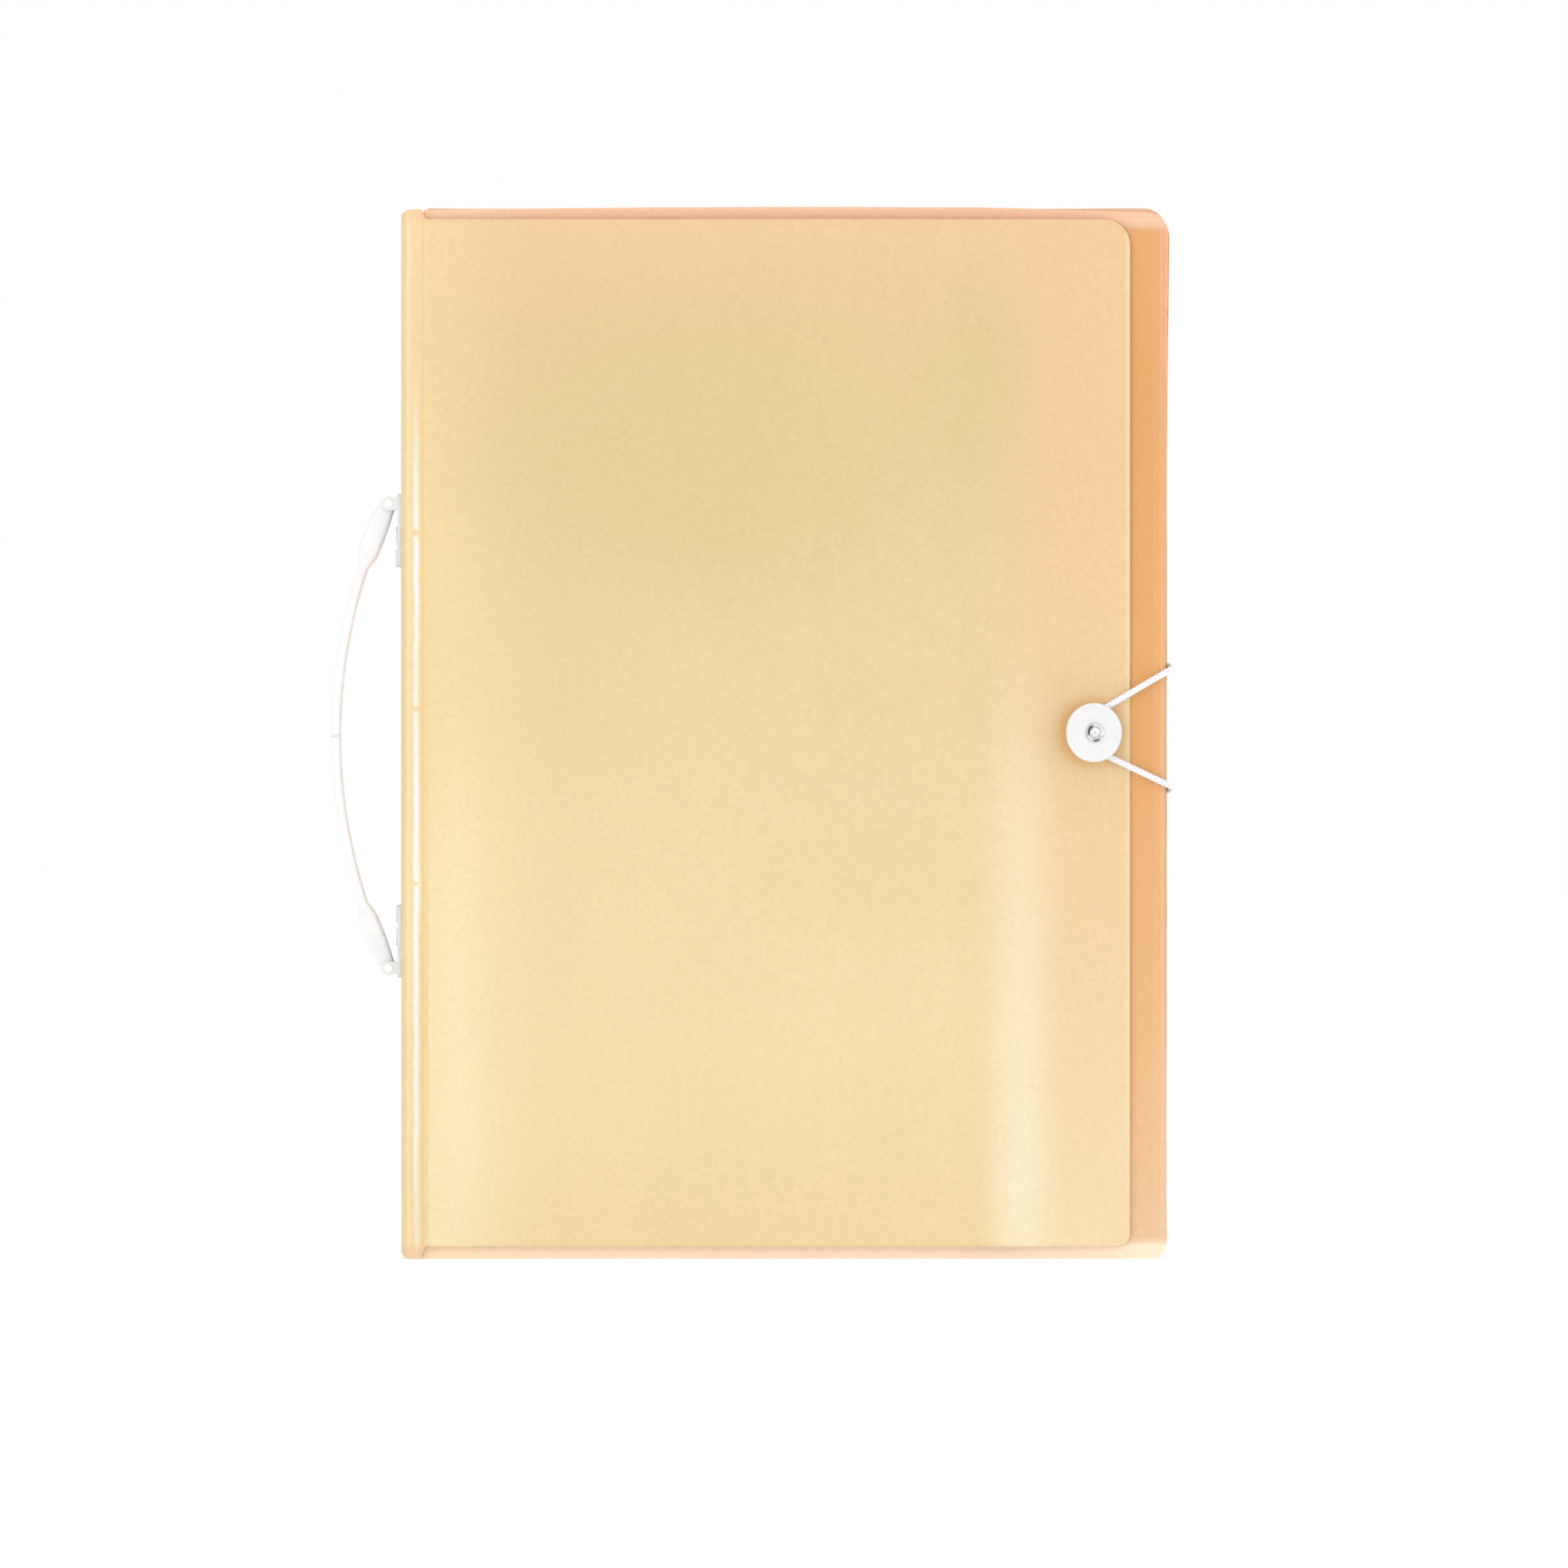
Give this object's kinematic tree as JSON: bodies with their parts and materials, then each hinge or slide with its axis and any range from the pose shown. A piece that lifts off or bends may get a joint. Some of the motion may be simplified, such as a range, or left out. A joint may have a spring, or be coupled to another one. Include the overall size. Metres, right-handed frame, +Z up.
{
  "type": "expanding document folder",
  "caption": "Translucent expanding document folder with pleated pockets, a fold-over flap held by an elastic on a button, and a bowed carrying handle on its spine.",
  "frame": {"origin": "centre of the whole folder's box at its base, where its bottom edges stand on the floor", "axes": "+Z up along the spine, +X from the spine and handle towards the closing edge, +Y from the front flap to the back panel"},
  "size_m": [0.2648, 0.0394, 0.33],
  "materials": {
    "cover_orange_clear": "translucent orange polypropylene sheet, fine matt grain",
    "divider_orange": "translucent deep orange polypropylene sheet",
    "pleat_orange": "thin translucent orange gusset film",
    "white_plastic": "smooth white moulded plastic",
    "rivet_steel": "nickel-plated steel",
    "elastic_white": "round braided white elastic"
  },
  "bodies": {
    "root": {"back_panel": "cover_orange_clear", "elastic_anchor": "elastic_white", "elastic_clips": "rivet_steel", "elastic_eyelets": "white_plastic"},
    "spine": {"spine_panel": "cover_orange_clear", "handle_base_upper": "white_plastic", "handle_base_lower": "white_plastic", "handle_pin_upper": "rivet_steel", "handle_pin_lower": "rivet_steel", "spine_backing_upper": "white_plastic", "spine_backing_lower": "white_plastic", "handle_rivets": "white_plastic"},
    "flap": {"front_flap": "cover_orange_clear", "button_rivet": "rivet_steel", "rivet_washer": "rivet_steel"},
    "button": {"closure_button": "white_plastic"},
    "hook": {"elastic_loop": "elastic_white"},
    "grip": {"handle_grip": "white_plastic"},
    "end_upper": {"handle_end_upper": "white_plastic"},
    "end_lower": {"handle_end_lower": "white_plastic"},
    "pocket_01": {"divider_01": "divider_orange", "gusset_pleat_01": "pleat_orange"},
    "pocket_02": {"divider_02": "divider_orange", "gusset_pleat_02": "pleat_orange"},
    "pocket_03": {"divider_03": "divider_orange", "gusset_pleat_03": "pleat_orange"},
    "pocket_04": {"divider_04": "divider_orange", "gusset_pleat_04": "pleat_orange"},
    "pocket_05": {"divider_05": "divider_orange", "gusset_pleat_05": "pleat_orange"},
    "pocket_06": {"divider_06": "divider_orange", "gusset_pleat_06": "pleat_orange"},
    "pocket_07": {"divider_07": "divider_orange", "gusset_pleat_07": "pleat_orange"},
    "pocket_08": {"divider_08": "divider_orange", "gusset_pleat_08": "pleat_orange"},
    "pocket_09": {"divider_09": "divider_orange", "gusset_pleat_09": "pleat_orange"},
    "pocket_10": {"divider_10": "divider_orange", "gusset_pleat_10": "pleat_orange"},
    "pocket_11": {"divider_11": "divider_orange", "gusset_pleat_11": "pleat_orange"},
    "pocket_12": {"front_pocket_panel": "divider_orange", "gusset_pleat_12": "pleat_orange"}
  },
  "joints": [
    {"name": "spine_fold", "type": "hinge", "parent": "root", "child": "spine", "pos_m": [-0.1051, 0.01675, 0.165], "axis": [0, 0, -1], "range_deg": [0, 90]},
    {"name": "flap_fold", "type": "hinge", "parent": "spine", "child": "flap", "pos_m": [-0.1051, -0.01045, 0.165], "axis": [0, 0, -1], "range_deg": [0, 90]},
    {"name": "button_spin", "type": "hinge", "parent": "flap", "child": "button", "pos_m": [0.105, -0.01051, 0.165], "axis": [0.342, -0.9397, 0], "continuous": true},
    {"name": "elastic_unhook", "type": "hinge", "parent": "root", "child": "hook", "pos_m": [0.1314, -0.0092, 0.1665], "axis": [0, 0, 1], "range_deg": [0, 165.01], "deforming": ["elastic_loop"]},
    {"name": "handle_flex", "type": "slide", "parent": "spine", "child": "grip", "axis": [1, 0, 0], "range_m": [0, 0.0055], "stiffness_N_per_m": 400},
    {"name": "handle_turn_upper", "type": "hinge", "parent": "grip", "child": "end_upper", "pos_m": [-0.12271, 0.00315, 0.2155], "axis": [0, 1, 0], "range_deg": [-13.85, 0]},
    {"name": "handle_turn_lower", "type": "hinge", "parent": "grip", "child": "end_lower", "pos_m": [-0.12271, 0.00315, 0.1125], "axis": [0, 1, 0], "range_deg": [0, 13.85]},
    {"name": "pocket_fan_01", "type": "hinge", "parent": "root", "child": "pocket_01", "pos_m": [0.1252, -0.00785, 0.165], "axis": [0, 0, 1], "range_deg": [0, 0.77], "deforming": ["gusset_pleat_01"]},
    {"name": "pocket_fan_02", "type": "hinge", "parent": "pocket_01", "child": "pocket_02", "pos_m": [0.1252, -0.00785, 0.165], "axis": [0, 0, 1], "range_deg": [0, 0.77], "deforming": ["gusset_pleat_02"]},
    {"name": "pocket_fan_03", "type": "hinge", "parent": "pocket_02", "child": "pocket_03", "pos_m": [0.1252, -0.00785, 0.165], "axis": [0, 0, 1], "range_deg": [0, 0.77], "deforming": ["gusset_pleat_03"]},
    {"name": "pocket_fan_04", "type": "hinge", "parent": "pocket_03", "child": "pocket_04", "pos_m": [0.1252, -0.00785, 0.165], "axis": [0, 0, 1], "range_deg": [0, 0.77], "deforming": ["gusset_pleat_04"]},
    {"name": "pocket_fan_05", "type": "hinge", "parent": "pocket_04", "child": "pocket_05", "pos_m": [0.1252, -0.00785, 0.165], "axis": [0, 0, 1], "range_deg": [0, 0.77], "deforming": ["gusset_pleat_05"]},
    {"name": "pocket_fan_06", "type": "hinge", "parent": "pocket_05", "child": "pocket_06", "pos_m": [0.1252, -0.00785, 0.165], "axis": [0, 0, 1], "range_deg": [0, 0.77], "deforming": ["gusset_pleat_06"]},
    {"name": "pocket_fan_07", "type": "hinge", "parent": "pocket_06", "child": "pocket_07", "pos_m": [0.1252, -0.00785, 0.165], "axis": [0, 0, 1], "range_deg": [0, 0.77], "deforming": ["gusset_pleat_07"]},
    {"name": "pocket_fan_08", "type": "hinge", "parent": "pocket_07", "child": "pocket_08", "pos_m": [0.1252, -0.00785, 0.165], "axis": [0, 0, 1], "range_deg": [0, 0.77], "deforming": ["gusset_pleat_08"]},
    {"name": "pocket_fan_09", "type": "hinge", "parent": "pocket_08", "child": "pocket_09", "pos_m": [0.1252, -0.00785, 0.165], "axis": [0, 0, 1], "range_deg": [0, 0.77], "deforming": ["gusset_pleat_09"]},
    {"name": "pocket_fan_10", "type": "hinge", "parent": "pocket_09", "child": "pocket_10", "pos_m": [0.1252, -0.00785, 0.165], "axis": [0, 0, 1], "range_deg": [0, 0.77], "deforming": ["gusset_pleat_10"]},
    {"name": "pocket_fan_11", "type": "hinge", "parent": "pocket_10", "child": "pocket_11", "pos_m": [0.1252, -0.00785, 0.165], "axis": [0, 0, 1], "range_deg": [0, 0.77], "deforming": ["gusset_pleat_11"]},
    {"name": "pocket_fan_12", "type": "hinge", "parent": "pocket_11", "child": "pocket_12", "pos_m": [0.1252, -0.00785, 0.165], "axis": [0, 0, 1], "range_deg": [0, 0.77], "deforming": ["gusset_pleat_12"]}
  ],
  "couplings": [
    {"joint": "flap_fold", "follows": "spine_fold", "ratio": 1},
    {"joint": "elastic_unhook", "follows": "spine_fold", "ratio": 1.8333},
    {"joint": "handle_turn_upper", "follows": "handle_flex", "rad_per_m": -43.8},
    {"joint": "handle_turn_lower", "follows": "handle_flex", "rad_per_m": 43.8},
    {"joint": "pocket_fan_01", "follows": "spine_fold", "ratio": 0.0085},
    {"joint": "pocket_fan_02", "follows": "spine_fold", "ratio": 0.0085},
    {"joint": "pocket_fan_03", "follows": "spine_fold", "ratio": 0.0085},
    {"joint": "pocket_fan_04", "follows": "spine_fold", "ratio": 0.0085},
    {"joint": "pocket_fan_05", "follows": "spine_fold", "ratio": 0.0085},
    {"joint": "pocket_fan_06", "follows": "spine_fold", "ratio": 0.0085},
    {"joint": "pocket_fan_07", "follows": "spine_fold", "ratio": 0.0085},
    {"joint": "pocket_fan_08", "follows": "spine_fold", "ratio": 0.0085},
    {"joint": "pocket_fan_09", "follows": "spine_fold", "ratio": 0.0085},
    {"joint": "pocket_fan_10", "follows": "spine_fold", "ratio": 0.0085},
    {"joint": "pocket_fan_11", "follows": "spine_fold", "ratio": 0.0085},
    {"joint": "pocket_fan_12", "follows": "spine_fold", "ratio": 0.0085}
  ]
}
